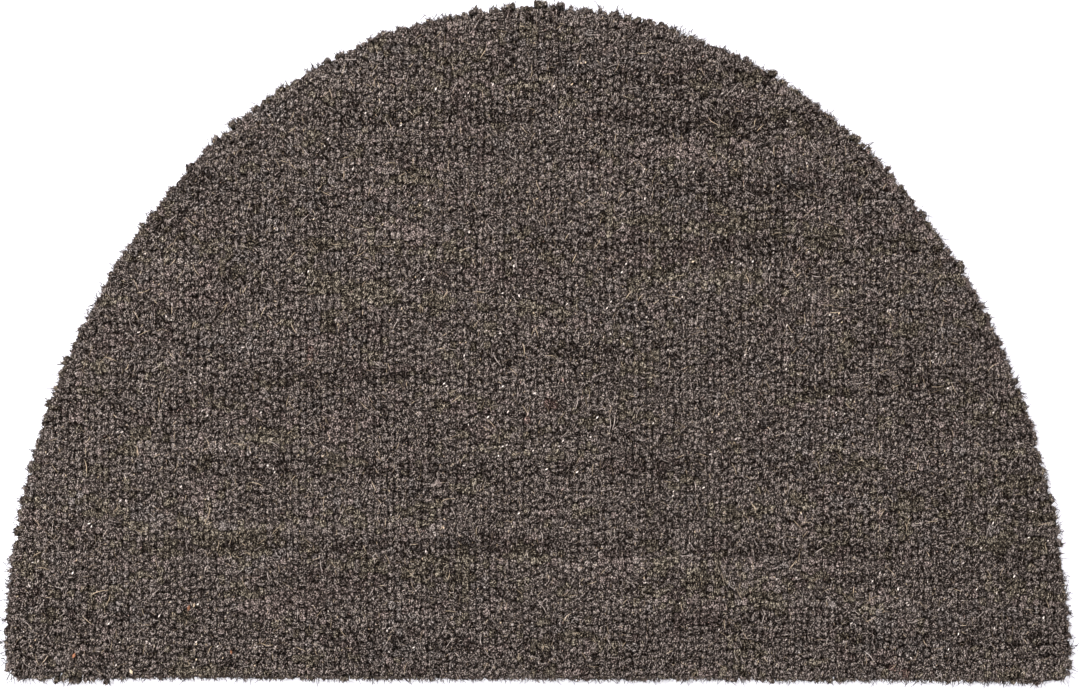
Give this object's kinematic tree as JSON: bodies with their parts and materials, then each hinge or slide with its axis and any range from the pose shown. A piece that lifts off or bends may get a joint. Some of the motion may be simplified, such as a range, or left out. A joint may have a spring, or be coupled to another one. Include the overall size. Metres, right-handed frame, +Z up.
{
  "type": "half-round coir doormat",
  "caption": "Flat half-round doormat of grey-brown tufted coir pile, straight along one side, to lie on a floor at a door for wiping shoes.",
  "frame": {"origin": "middle of the underside's box, on the floor", "axes": "+X along the straight edge, +Y from the straight edge towards the round edge, +Z up out of the pile"},
  "size_m": [0.8034, 0.5138, 0.017],
  "materials": {
    "coir_pile": "matte dyed coir, cut pile"
  },
  "bodies": {
    "root": {"coir_mat": "coir_pile"}
  },
  "joints": []
}
